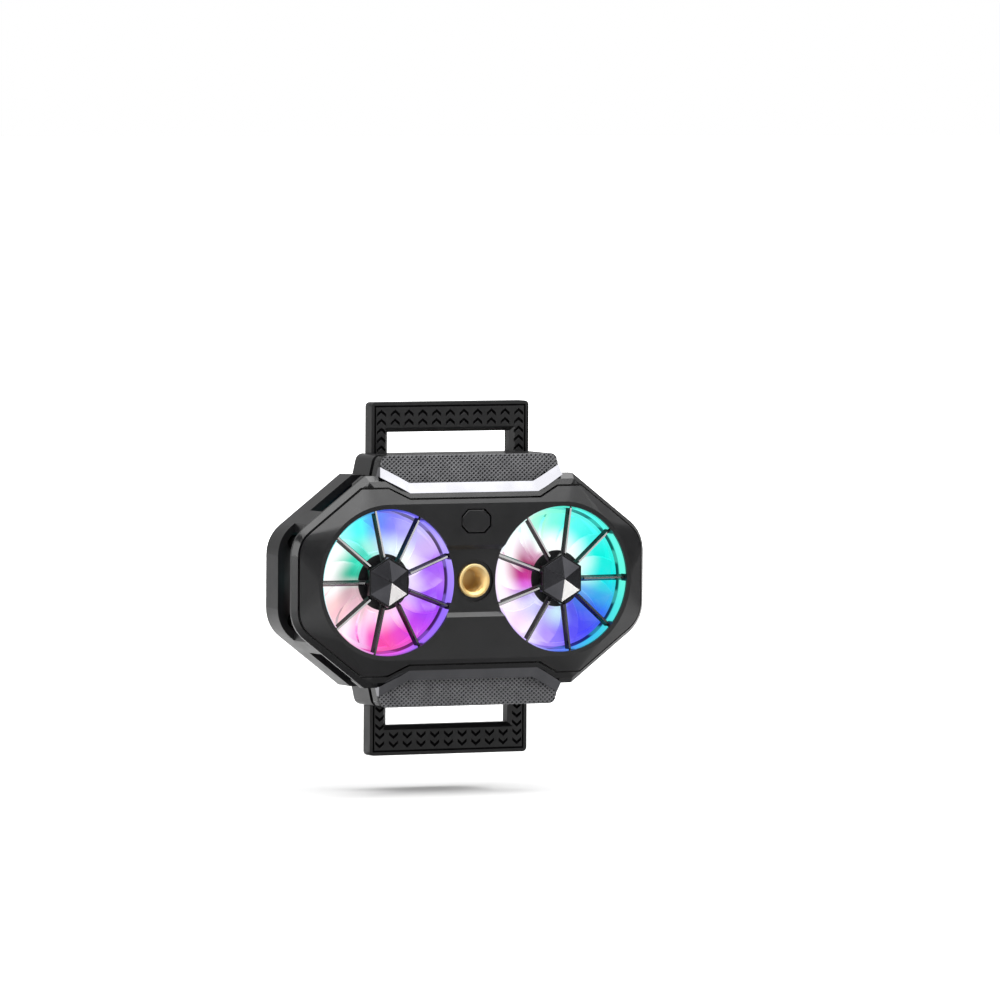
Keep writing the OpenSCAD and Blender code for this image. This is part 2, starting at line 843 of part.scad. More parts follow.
module blade() {
    n = 6;
    points = [for (i = [0:blade_steps]) each blade_section(i / blade_steps)];
    last = blade_steps * n;
    sides = [for (i = [0:blade_steps - 1], j = [0:n - 1])
        let (a = i * n + j, b = i * n + (j + 1) % n)
        each [[a, b + n, b], [a, a + n, b + n]]];
    root = [[0, 4, 5], [0, 1, 4], [1, 3, 4], [1, 2, 3]];
    tip = [for (f = root) [last + f[0], last + f[2], last + f[1]]];
    polyhedron(points, concat(sides, root, tip));
}

module impeller(side) {
    color("#f2f7fa") at_fan(side) {
        slab(impeller_front, impeller_back) ring2d(hub_r + impeller_ring, hub_r);
        slab(tip_ring_front, tip_ring_back) ring2d(tip_r + tip_ring, tip_r - tip_overlap);
        for (i = [0:blade_count - 1]) rotate([0, i * 360 / blade_count, 0]) blade();
    }
}

module left_impeller() impeller(-1);

module right_impeller() impeller(1);

hub_proud = 0.1;
magnet_in = 0.2;

module rotor_hub(side) {
    color("#141416") at_fan(side) {
        slab(impeller_front - hub_proud, hub_floor - shaft_seat) circle(hub_r);
        slab(hub_floor - shaft_seat, hub_floor) ring2d(hub_r, shaft_r);
        slab(hub_floor, impeller_back) ring2d(hub_r, hub_r - hub_wall);
    }
}

module left_rotor_hub() rotor_hub(-1);

module right_rotor_hub() rotor_hub(1);

module magnet(side) {
    magnet_r = hub_r - hub_wall;
    color("#4a4643") at_fan(side)
        slab(hub_floor, impeller_back - magnet_in) ring2d(magnet_r, magnet_r - magnet_t);
}

module left_magnet() magnet(-1);

module right_magnet() magnet(1);

module shaft(side) {
    color("#c9ccd0") at_fan(side) slab(hub_floor - shaft_seat, shaft_end) circle(shaft_r);
}

module left_shaft() shaft(-1);

module right_shaft() shaft(1);

module bearing(side) {
    color("#b08a4a") at_fan(side)
        slab(bearing_front, shaft_end) ring2d(bearing_r, shaft_r + shaft_gap);
}

module left_bearing() bearing(-1);

module right_bearing() bearing(1);

stator_poles = 6;
core_t = 0.5;
pole_w = 1.2;
shoe = [0.35, 2.4];
stator_in = [0.3, 0.4];

module stator(side) {
    pole_l = stator_r - tube_r - core_t;
    color("#b5672f") at_fan(side) slab(bearing_front + stator_in[0], impeller_back - stator_in[1]) {
        ring2d(tube_r + core_t, tube_r);
        for (i = [0:stator_poles - 1]) rotate(i * 360 / stator_poles) {
            translate([tube_r + core_t / 2, -pole_w / 2]) square([pole_l, pole_w]);
            translate([stator_r - core_t, -shoe[1] / 2]) square(shoe);
        }
    }
}

module left_stator() stator(-1);

module right_stator() stator(1);

// Insert and button

module tripod_insert() {
    color("#c9a24b") {
        slab(insert_depth, insert_back) ring2d(insert_r, thread_r);
        slab(insert_depth, insert_depth + flange_t) ring2d(flange_r, thread_r);
    }
}

// Flattened octagon of the button, grown by a gap
module button2d(gap) {
    w = button_w / 2 + gap;
    h = button_h / 2 + gap;
    cut = button_h * button_corner;
    translate([0, button_z]) polygon(four_way([[w, h - cut], [w - cut, h]]));
}

button_corner = 0.31;
button_play = 0.1;
button_foot_t = 0.6;
stem_r = 1.3;
plunger_r = 0.9;
switch_w = 4;

module power_button() {
    foot = pocket_depth + button_play;
    foot_back = foot + button_foot_t;
    color("#242427") {
        slab(0, foot) button2d(0);
        slab(foot, foot_back) button2d(button_step - button_gap);
        slab(foot_back, stem_back) translate([0, button_z]) circle(stem_r);
    }
}

module button_switch() {
    color("#8b8d90") {
        slab(switch_front, board_depth) translate([0, button_z]) square(switch_w, center = true);
        slab(plunger_front, switch_front) translate([0, button_z]) circle(plunger_r);
    }
}

// Chips on the boards: middle, from the button or from the socket's back end, and size
control_chips = [[[-2.7, 2.3], [3.6, 3.6]], [[3.5, 0], [4, 2]]];
power_chips = [[[-7, 0], [4, 4]], [[-3, 4.5], [2, 3]]];

module chips2d(chips) {
    for (chip = chips) translate(chip[0]) square(chip[1], center = true);
}

module control_board() {
    color("#2e5a3a") {
        slab(board_depth, board_depth + board_t) translate([-board_x, board_z0])
            square([2 * board_x, board_z1 - board_z0]);
        slab(board_depth + board_t, board_depth + board_t + chip_t)
            translate([0, button_z]) chips2d(control_chips);
    }
}

shell_back = 1;
tongue = [0.7, 6.6];
tongue_sunk = 0.8;

module usb_socket() {
    shell_r = usb_h / 2 - skin / 2;
    color("#b9bcc0") translate([usb_x0, usb_depth - body_d, 0]) rotate([90, 0, 90]) {
        linear_extrude(usb_l) difference() {
            rounded2d(usb_h, usb_w, shell_r);
            rounded2d(usb_h - 2 * usb_wall, usb_w - 2 * usb_wall, shell_r - usb_wall);
        }
        linear_extrude(shell_back) rounded2d(usb_h, usb_w, shell_r);
        linear_extrude(usb_l - tongue_sunk) square(tongue, center = true);
    }
}

module power_board() {
    color("#2e5a3a") {
        slab(usb_depth - board_t / 2, usb_depth + board_t / 2)
            translate([power_board_x, -power_board_z])
                square([usb_x0 - power_board_x, 2 * power_board_z]);
        slab(usb_depth + board_t / 2, usb_depth + board_t / 2 + chip_t)
            translate([usb_x0, 0]) chips2d(power_chips);
    }
}

// Thermal stack

sink_gap = 1.2;

module sink2d() {
    inset = wall + sink_gap;
    corner_x = slope_x(inset, sink_z);
    corner_z = (slope_c - inset - sink_at * sin(slope_deg)) / cos(slope_deg);
    polygon(four_way([[sink_at, corner_z], [corner_x, sink_z]]));
}

module heat_sink() {
    fins = floor((sink_z - fin_t / 2) / fin_pitch);
    color("#8f9397") {
        slab(floor_depth - sink_base, floor_depth) sink2d();
        slab(sink_front, floor_depth - sink_base) intersection() {
            sink2d();
            for (i = [-fins:fins])
                translate([0, i * fin_pitch]) square([2 * sink_at, fin_t], center = true);
        }
    }
}

ceramic_t = 0.8;
pellet_inset = 0.8;

module peltier_module() {
    color("#e6e4dc") {
        slab(floor_depth, floor_depth + ceramic_t) square(tec_w, center = true);
        slab(floor_depth + ceramic_t, cold_front - ceramic_t)
            square(tec_w - 2 * pellet_inset, center = true);
        slab(cold_front - ceramic_t, cold_front) square(tec_w, center = true);
    }
}

cold_flange = [1.2, 2.4];
thermal_inset = 0.4;

module cold_plate() {
    color("#c4c7ca") {
        slab(cold_front, back_front) square([cold_w, cold_h] + cold_flange, center = true);
        slab(back_front, cold_back) square([cold_w, cold_h], center = true);
    }
}

module thermal_pad() {
    color("#5b7f9c") slab(cold_back, body_d)
        square([cold_w - 2 * thermal_inset, cold_h - 2 * thermal_inset], center = true);
}

// Clamp

arm_corner = 1;
hook_root = 1;
hook_edge = 0.8;
pad_rib = 0.25;
pad_ribs = 6;
pad_margin = [1, 0.4];

// Outline of the upper arm: two legs with stops, and a crossbar with rounded corners
module arm2d() {
    for (x = [-1, 1]) {
        translate([x * leg_x - leg_w / 2, leg_in]) square([leg_w, crossbar_in + arm_corner - leg_in]);
        translate([x * (arm_x + stop_w / 2 - skin), leg_in + stop_h / 2])
            square([stop_w + skin, stop_h], center = true);
    }
    translate([0, crossbar_in + crossbar_h / 2]) rounded2d(2 * arm_x, crossbar_h, arm_corner);
    translate([-arm_x, crossbar_in]) square([2 * arm_x, crossbar_h / 2]);
}

// Bevel round the window on the arm's face
module window_cut() {
    b = window_bevel;
    window = [2 * window_x, crossbar_in - shoulder_top];
    middle = [0, (crossbar_in + shoulder_top) / 2];
    hull() {
        slab(arm_front - skin, arm_front) translate(middle) square(window + [2 * b, 2 * b], center = true);
        slab(arm_front + b, arm_front + b + skin) translate(middle) square(window, center = true);
    }
}

module arm() {
    color("#262628") {
        difference() {
            slab(arm_front, arm_back) arm2d();
            window_cut();
        }
        hook();
    }
}

// Hook behind the crossbar, drawn from the side and filled across its width
module hook() {
    y0 = arm_back - hook_root - body_d;
    tip = hook_reach + lip_t;
    lip_z = jaw_at - lip_catch;
    translate([-hook_x, 0, 0]) rotate([90, 0, 90]) linear_extrude(2 * hook_x)
        polygon([[y0, hook_in], [hook_reach, hook_in], [hook_reach, lip_z + hook_edge / 2],
            [hook_reach + hook_edge, lip_z], [tip, lip_z + hook_edge],
            [tip, hook_out - hook_edge], [tip - hook_edge, hook_out], [y0, hook_out]]);
}

// Rubber pad with small ribs along its face
module hook_pad() {
    pad_half = hook_x - pad_margin[0];
    y0 = pad_margin[1];
    y1 = hook_reach - y0;
    step = (y1 - y0) / pad_ribs;
    root_z = jaw_at + pad_rib;
    teeth = [for (i = [0:pad_ribs - 1])
        each [[y0 + i * step, root_z], [y0 + (i + 0.5) * step, jaw_at]]];
    color("#3d3d40") translate([-pad_half, 0, 0]) rotate([90, 0, 90]) linear_extrude(2 * pad_half)
        polygon(concat(teeth, [[y1, root_z], [y1, hook_in], [y0, hook_in]]));
}

module upper_arm() arm();

module lower_arm() mirror([0, 0, 1]) arm();

module upper_hook_pad() hook_pad();

module lower_hook_pad() mirror([0, 0, 1]) hook_pad();

// One close-wound tension spring from the anchor post to a leg, its turns drawn as ridges
module spring() {
    pitch = (leg_in - anchor_r) / spring_turns;
    turns = [for (i = [0:spring_turns - 1])
        each [[spring_r, anchor_r + i * pitch], [spring_r + wire_r, anchor_r + (i + 0.5) * pitch]]];
    rotate_extrude()
        polygon(concat([[0, anchor_r]], turns, [[spring_r, leg_in], [0, leg_in]]));
}

module springs() {
    color("#c4c6c9") both_sides() translate([leg_x, spring_d - body_d, 0]) spring();
}

module upper_springs() springs();

module lower_springs() mirror([0, 0, 1]) springs();

front_cover();
fascia();
rear_housing();
back_plate();
case_screws();
left_grille();
right_grille();
left_hub_cap();
right_hub_cap();
left_light_ring();
right_light_ring();
left_led_board();
right_led_board();
left_fan_frame();
right_fan_frame();
left_impeller();
right_impeller();
left_rotor_hub();
right_rotor_hub();
left_magnet();
right_magnet();
left_shaft();
right_shaft();
left_stator();
right_stator();
left_bearing();
right_bearing();
upper_grip_pad();
lower_grip_pad();
tripod_insert();
power_button();
button_switch();
control_board();
usb_socket();
power_board();
heat_sink();
peltier_module();
cold_plate();
thermal_pad();
upper_arm();
lower_arm();
upper_hook_pad();
lower_hook_pad();
upper_springs();
lower_springs();
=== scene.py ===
"""Looks of a clip-on cooling fan: two lit fans in a black case, held between two sprung clamp arms."""

import math

import bmesh
import bpy
from mathutils import Matrix, Vector


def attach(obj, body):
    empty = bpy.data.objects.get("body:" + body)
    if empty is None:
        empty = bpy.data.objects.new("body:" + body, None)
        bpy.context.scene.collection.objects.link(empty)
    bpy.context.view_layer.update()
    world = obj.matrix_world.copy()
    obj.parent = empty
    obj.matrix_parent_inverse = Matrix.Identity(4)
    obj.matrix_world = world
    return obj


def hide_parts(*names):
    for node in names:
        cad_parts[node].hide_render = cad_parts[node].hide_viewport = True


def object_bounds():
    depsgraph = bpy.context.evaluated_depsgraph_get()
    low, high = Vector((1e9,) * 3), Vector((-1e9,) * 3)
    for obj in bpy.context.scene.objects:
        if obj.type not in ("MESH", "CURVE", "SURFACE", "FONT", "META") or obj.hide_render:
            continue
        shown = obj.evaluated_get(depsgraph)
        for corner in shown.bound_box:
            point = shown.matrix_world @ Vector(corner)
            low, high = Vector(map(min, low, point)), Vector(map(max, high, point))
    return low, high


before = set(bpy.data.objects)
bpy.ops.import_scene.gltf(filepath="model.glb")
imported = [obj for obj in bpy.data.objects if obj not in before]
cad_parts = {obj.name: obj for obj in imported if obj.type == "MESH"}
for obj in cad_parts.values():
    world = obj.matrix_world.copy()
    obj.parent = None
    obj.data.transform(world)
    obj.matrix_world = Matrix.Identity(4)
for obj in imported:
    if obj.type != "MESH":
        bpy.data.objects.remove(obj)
cad_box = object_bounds()
scene = bpy.context.scene
MM = 0.001

# Sizes in millimetres, as the solids have them. Depths run back from the fan rims
RIM_Y = -18.4
FAN_X = 21.5
PAD_X, PAD_Z = 15.4, 21.85
PAD_DEPTH, PAD_BACK = 3.6, 4.6
PAD_SLOPE = math.radians(27.7)
SHOULDER_X, SHOULDER_Z = 21.6, 28.0
SHOULDER_DRAFT, SHOULDER_R = 0.23, 1.8
INSERT_FRONT, INSERT_BACK = 0.6, 6.6
ARM_X, ARM_OUT, ARM_DEPTH = 19.6, 39.4, 13.3
WINDOW_X = 15.2
# Room for the lower arm to slide out above the floor
ARM_ROOM = 8.4
# Corners closer than this are one corner, and faces that turn by less than this are one flat
SAME_CORNER = 0.002 * MM
SAME_FLAT = math.radians(0.4)


def depth(d):
    """Y in millimetres of a depth behind the fan rims."""
    return RIM_Y + d


# Finishes

def linear(hex_colour):
    """An sRGB hex value as the linear colour that the shaders take."""
    parts = [int(hex_colour[i:i + 2], 16) / 255 for i in (1, 3, 5)]
    return (*[c / 12.92 if c <= 0.04045 else ((c + 0.055) / 1.055) ** 2.4 for c in parts], 1.0)


def put(tree, kind, inputs=None, **settings):
    """Adds one node with its settings. An input given as a socket is linked, any other is set."""
    made = tree.nodes.new(kind)
    for key, value in settings.items():
        setattr(made, key, value)
    for key, value in (inputs or {}).items():
        if isinstance(value, bpy.types.NodeSocket):
            tree.links.new(value, made.inputs[key])
        else:
            made.inputs[key].default_value = value
    return made


def start_finish(name, **values):
    """A material with one Principled surface. Gives it, its tree, the surface and the place on the piece."""
    made = bpy.data.materials.new(name)
    made.use_nodes = True
    tree = made.node_tree
    tree.nodes.clear()
    surface = put(tree, "ShaderNodeBsdfPrincipled", values)
    put(tree, "ShaderNodeOutputMaterial", {"Surface": surface.outputs[0]})
    place = put(tree, "ShaderNodeTexCoord").outputs["Object"]
    return made, tree, surface, place


def per_mm(size):
    """Texture scale at which one feature is about this many millimetres."""
    return 1 / (size * MM)


def two_tone(tree, place, size, dark, light):
    """Slow drift between two close colours over patches of a size in millimetres."""
    drift = put(tree, "ShaderNodeTexNoise", {"Vector": place, "Scale": per_mm(size), "Detail": 3.0})
    tones = put(tree, "ShaderNodeValToRGB", {"Fac": drift.outputs["Fac"]})
    for stop, position, colour in zip(tones.color_ramp.elements, (0.35, 0.65), (dark, light)):
        stop.position = position
        stop.color = linear(colour)
    return tones.outputs["Color"]


def uneven(tree, place, size, low, high):
    """Roughness that drifts between two values over patches of a size in millimetres."""
    drift = put(tree, "ShaderNodeTexNoise", {"Vector": place, "Scale": per_mm(size), "Detail": 2.0})
    span = put(tree, "ShaderNodeMapRange", {
        "Value": drift.outputs["Fac"], "From Min": 0.3, "From Max": 0.7, "To Min": low, "To Max": high})
    return span.outputs["Result"]


def grit(tree, place, size, height):
    """Bump of a fine eroded grain. Size and height are in millimetres."""
    grain = put(tree, "ShaderNodeTexNoise", {"Vector": place, "Scale": per_mm(size), "Detail": 2.0})
    bump = put(tree, "ShaderNodeBump", {
        "Strength": 1.0, "Distance": height * MM, "Height": grain.outputs["Fac"]})
    return bump.outputs["Normal"]


def moulded(name, dark, light, rough, grain, height, ior=1.53):
    """Moulded plastic or rubber: close tones, uneven gloss and the grain of the mould."""
    tone_patch, gloss_patch = 9.0, 5.0
    made, tree, surface, place = start_finish(name, IOR=ior)
    tree.links.new(two_tone(tree, place, tone_patch, dark, light), surface.inputs["Base Color"])
    gloss = uneven(tree, place, gloss_patch, rough - 0.04, rough + 0.05)
    tree.links.new(gloss, surface.inputs["Roughness"])
    tree.links.new(grit(tree, place, grain, height), surface.inputs["Normal"])
    return made


def bare_metal(tree, surface, place, dark, light, rough, grain, height):
    """Gives a surface the close tones, uneven gloss and faint grain of bare or plated metal."""
    tone_patch, gloss_patch = 6.0, 3.0
    tree.links.new(two_tone(tree, place, tone_patch, dark, light), surface.inputs["Base Color"])
    gloss = uneven(tree, place, gloss_patch, rough - 0.03, rough + 0.05)
    tree.links.new(gloss, surface.inputs["Roughness"])
    tree.links.new(grit(tree, place, grain, height), surface.inputs["Normal"])


def metal(name, *look):
    """Bare or plated metal, with the look that bare_metal takes."""
    made, tree, surface, place = start_finish(name, Metallic=1.0)
    bare_metal(tree, surface, place, *look)
    return made


def round_the_fan(tree, place, fan_x):
    """Turn from 0 to 1 round a fan, counted from its right, and the distance from its axis."""
    away = put(tree, "ShaderNodeVectorMath", {0: place, 1: (fan_x * MM, 0, 0)}, operation="SUBTRACT")
    flat = put(tree, "ShaderNodeVectorMath", {0: away.outputs[0], 1: (1, 0, 1)}, operation="MULTIPLY")
    reach = put(tree, "ShaderNodeVectorMath", {0: flat.outputs[0]}, operation="LENGTH")
    parts = put(tree, "ShaderNodeSeparateXYZ", {"Vector": flat.outputs[0]})
    angle = put(tree, "ShaderNodeMath", {0: parts.outputs["Z"], 1: parts.outputs["X"]}, operation="ARCTAN2")
    turn = put(tree, "ShaderNodeMath", {0: angle.outputs[0], 1: 2 * math.pi}, operation="DIVIDE")
    whole = put(tree, "ShaderNodeMath", {0: turn.outputs[0]}, operation="FRACT")
    return whole.outputs[0], reach.outputs["Value"]


def led_colours(tree, turn, stops):
    """Colours that run round a fan, from (degrees, hex colour) stops."""
    made = put(tree, "ShaderNodeValToRGB", {"Fac": turn})
    ramp = made.color_ramp
    ramp.interpolation = "EASE"
    while len(ramp.elements) > 1:
        ramp.elements.remove(ramp.elements[-1])
    first_angle, first_colour = stops[0]
    ramp.elements[0].position = first_angle / 360
    ramp.elements[0].color = linear(first_colour)
    for angle, colour in stops[1:]:
        ramp.elements.new(angle / 360).color = linear(colour)
    return made.outputs["Color"]


def paint_glow(tree, surface, colour, strength):
    """Paints a glow in a colour onto a surface. Its own colour is a dim copy, so the lamps don't wash it out.
    """
    dimmed = 0.12
    dim = put(tree, "ShaderNodeMix", {"Factor": dimmed, "A": (0, 0, 0, 1), "B": colour}, data_type="RGBA")
    tree.links.new(dim.outputs["Result"], surface.inputs["Base Color"])
    tree.links.new(colour, surface.inputs["Emission Color"])
    surface.inputs["Emission Strength"].default_value = strength


# Glow of the LEDs, by degrees counted up from each fan's right: painted glow at the blade tips and by the
# hub, and the light in the ring
LEFT_OUTER = [
    (0, "#B070F0"), (12, "#A45CF5"), (33, "#D0B4F5"), (50, "#C4BCF8"), (65, "#A8A0F8"), (80, "#8080F8"),
    (92, "#6A8CF8"), (103, "#5AC0F8"), (115, "#50FFF5"), (132, "#9CFFF8"), (145, "#FFFFFF"),
    (185, "#FFFCFD"), (205, "#F8D0D0"), (215, "#F6C4CC"), (230, "#FBEFF6"), (248, "#F0B8E8"),
    (262, "#F060C0"), (275, "#F050A8"), (295, "#E850C8"), (312, "#C048E8"), (330, "#A848F0"),
    (345, "#9A50F8"), (360, "#B070F0")]
LEFT_INNER = [
    (0, "#E8D8FC"), (20, "#F4EEFE"), (45, "#F4FFFA"), (70, "#E0F0FC"), (90, "#C8DCFA"), (110, "#A8F0E4"),
    (125, "#50D8C0"), (145, "#40D8B8"), (165, "#30B898"), (182, "#B8C8C0"), (195, "#C8A8B0"),
    (215, "#D8B0BC"), (235, "#E8C0CC"), (255, "#FFD8EC"), (275, "#FFC8E8"), (295, "#FFD0F4"),
    (315, "#E8A8F8"), (335, "#D8B8FC"), (360, "#E8D8FC")]
RIGHT_OUTER = [
    (0, "#10E8E0"), (20, "#19EBDD"), (40, "#40F0E8"), (62, "#58F4EC"), (90, "#80F8DC"), (108, "#A8F8DC"),
    (125, "#F6F4FA"), (150, "#FFF8FC"), (180, "#FFF8FC"), (215, "#FBEFFA"), (228, "#F0D4F6"),
    (245, "#E6DDFA"), (262, "#A98AF5"), (275, "#8C78F5"), (290, "#5A50F2"), (305, "#4444F0"),
    (325, "#3A6AEC"), (340, "#38A8E8"), (350, "#28D0E4"), (360, "#10E8E0")]
RIGHT_INNER = [
    (0, "#B8FFF6"), (20, "#D8FFFA"), (60, "#F2FFFD"), (90, "#FFFFFF"), (110, "#F4FFFC"), (135, "#C890B0"),
    (155, "#A03868"), (175, "#C03890"), (190, "#D868D8"), (205, "#B8A8E8"), (225, "#D8D8F8"),
    (250, "#B8B0F0"), (275, "#C8E8F8"), (300, "#5858E8"), (320, "#4A78E0"), (340, "#6FB0EC"),
    (360, "#B8FFF6")]
LEFT_RING = [
    (0, "#9A80F0"), (30, "#A898F4"), (60, "#6A60E0"), (90, "#3A48C8"), (130, "#58D8E0"), (180, "#B0F0F0"),
    (230, "#F0B8D8"), (270, "#C050D0"), (300, "#9060E0"), (330, "#8A68E8"), (360, "#9A80F0")]
RIGHT_RING = [
    (0, "#60E8D0"), (30, "#60E8D4"), (60, "#48E0D0"), (90, "#50E0C8"), (130, "#D8F4F0"), (180, "#F0E0F8"),
    (230, "#C8B0F4"), (270, "#5070E0"), (300, "#30B8D0"), (330, "#48D8D0"), (360, "#60E8D0")]
# Distances from the axis, in millimetres, between which the hub's colours give way to the tips'
GLOW_NEAR, GLOW_FAR = 7.6, 12.6
# Bead-blasted aluminium: two tones, roughness, then the grain's size and height
ALUMINIUM = ("#B9BCC0", "#CDD0D3", 0.34, 0.25, 0.006)


def fan_glow(tree, place, fan_x, inner, outer):
    """Colours of the painted LED glow that run round a fan and change from hub to tip. Gives them and the
    distance from the axis.
    """
    turn, reach = round_the_fan(tree, place, fan_x)
    share = put(tree, "ShaderNodeMapRange", {
        "Value": reach, "From Min": GLOW_NEAR * MM, "From Max": GLOW_FAR * MM},
        interpolation_type="SMOOTHSTEP")
    glow = put(tree, "ShaderNodeMix", {
        "Factor": share.outputs["Result"], "A": led_colours(tree, turn, inner),
        "B": led_colours(tree, turn, outer)}, data_type="RGBA")
    return glow.outputs["Result"], reach


def painted_led_glow(name, fan_x, inner, outer, strength):
    """Pale plastic in a fan's duct, with the light of the coloured LEDs round it painted on as a glow."""
    made, tree, surface, place = start_finish(name, Roughness=0.3, IOR=1.58)
    glow, _ = fan_glow(tree, place, fan_x, inner, outer)
    paint_glow(tree, surface, glow, strength)
    return made


def aluminium_painted_glow():
    """Bead-blasted aluminium with the glow of the fans in front of it painted on."""
    duct_r, dark_r, glow_level = 14, 17, 0.7
    made, tree, surface, place = start_finish("aluminium_painted_glow", Metallic=1.0)
    bare_metal(tree, surface, place, *ALUMINIUM)
    left, left_reach = fan_glow(tree, place, -FAN_X, LEFT_INNER, LEFT_OUTER)
    right, right_reach = fan_glow(tree, place, FAN_X, RIGHT_INNER, RIGHT_OUTER)
    on_right = put(tree, "ShaderNodeMath", {0: left_reach, 1: right_reach}, operation="GREATER_THAN")
    glow = put(tree, "ShaderNodeMix", {
        "Factor": on_right.outputs[0], "A": left, "B": right}, data_type="RGBA")
    nearest = put(tree, "ShaderNodeMath", {0: left_reach, 1: right_reach}, operation="MINIMUM")
    strength = put(tree, "ShaderNodeMapRange", {
        "Value": nearest.outputs[0], "From Min": duct_r * MM, "From Max": dark_r * MM,
        "To Min": glow_level, "To Max": 0.0})
    # Painted light: the fans' colours glow on the fins inside each duct and fade out beyond it
    tree.links.new(glow.outputs["Result"], surface.inputs["Emission Color"])
    tree.links.new(strength.outputs["Result"], surface.inputs["Emission Strength"])
    return made


def lit_ring(name, fan_x, stops):
    """Clear polycarbonate light guide: bright at its front, dark and dashed further in."""
    lit_depth, dark_depth = 2.9, 3.6
    half_waves, gap_to, dash_from = 22, 0.6, 0.75
    gap_level, dash_level = 0.01, 0.4
    made, tree, surface, place = start_finish(name, Roughness=0.2, IOR=1.58)
    turn, _ = round_the_fan(tree, place, fan_x)
    colour = led_colours(tree, turn, stops)
    parts = put(tree, "ShaderNodeSeparateXYZ", {"Vector": place})
    front = put(tree, "ShaderNodeMapRange", {
        "Value": parts.outputs["Y"],
        "From Min": depth(dark_depth) * MM, "From Max": depth(lit_depth) * MM})
    waves = put(tree, "ShaderNodeMath", {0: turn, 1: half_waves}, operation="MULTIPLY")
    wave = put(tree, "ShaderNodeMath", {0: waves.outputs[0], 1: 1.0}, operation="PINGPONG")
    dash = put(tree, "ShaderNodeMapRange", {
        "Value": wave.outputs[0], "From Min": gap_to, "From Max": dash_from,
        "To Min": gap_level, "To Max": dash_level})
    level = put(tree, "ShaderNodeMath", {
        0: front.outputs["Result"], 1: dash.outputs["Result"]}, operation="MAXIMUM")
    shown = put(tree, "ShaderNodeMix", {
        "Factor": level.outputs[0], "A": linear("#04080C"), "B": colour}, data_type="RGBA")
    paint_glow(tree, surface, shown.outputs["Result"], 1.0)
    return made


def ridged_rubber():
    """Silicone rubber grip with painted light and shade: the ridges painted pale and the pits between them
    painted black.
    """
    painted_shade_depth = 0.3
    made, tree, surface, place = start_finish("silicone_rubber_grip", Roughness=0.45, IOR=1.41)
    parts = put(tree, "ShaderNodeSeparateXYZ", {"Vector": place})
    # Painted light by depth: pale on the ridges as painted highlight, black in the pits as painted shade
    painted_light_share = put(tree, "ShaderNodeMapRange", {
        "Value": parts.outputs["Y"],
        "From Min": depth(PAD_DEPTH + painted_shade_depth) * MM, "From Max": depth(PAD_DEPTH) * MM})
    ridge = two_tone(tree, place, 4.0, "#525254", "#5E5E60")
    tone = put(tree, "ShaderNodeMix", {
        "Factor": painted_light_share.outputs["Result"], "A": linear("#0B0B0C"), "B": ridge}, data_type="RGBA")
    tree.links.new(tone.outputs["Result"], surface.inputs["Base Color"])
    tree.links.new(grit(tree, place, 0.25, 0.006), surface.inputs["Normal"])
    return made


def dark_chrome_cap_painted_highlight(fan_x):
    """Dark chrome over a six-sided point, with a painted highlight that makes one facet near white."""
    made, tree, surface, place = start_finish("dark_chrome_cap_painted_highlight", Metallic=1.0)
    turn, _ = round_the_fan(tree, place, fan_x)
    # Painted highlight on the facet that faces down and to the right
    highlight_from, highlight_to = 270 / 360, 330 / 360
    after = put(tree, "ShaderNodeMath", {0: turn, 1: highlight_from}, operation="GREATER_THAN")
    before = put(tree, "ShaderNodeMath", {0: turn, 1: highlight_to}, operation="LESS_THAN")
    painted_highlight = put(tree, "ShaderNodeMath", {0: after.outputs[0], 1: before.outputs[0]}, operation="MULTIPLY")
    plate = two_tone(tree, place, 6.0, "#4A4A4E", "#56565A")
    tone = put(tree, "ShaderNodeMix", {
        "Factor": painted_highlight.outputs[0], "A": plate, "B": linear("#FFFDFB")}, data_type="RGBA")
    tree.links.new(tone.outputs["Result"], surface.inputs["Base Color"])
    spread = put(tree, "ShaderNodeMapRange", {"Value": painted_highlight.outputs[0], "To Min": 0.24, "To Max": 0.6})
    tree.links.new(spread.outputs["Result"], surface.inputs["Roughness"])
    tree.links.new(grit(tree, place, 0.4, 0.002), surface.inputs["Normal"])
    return made


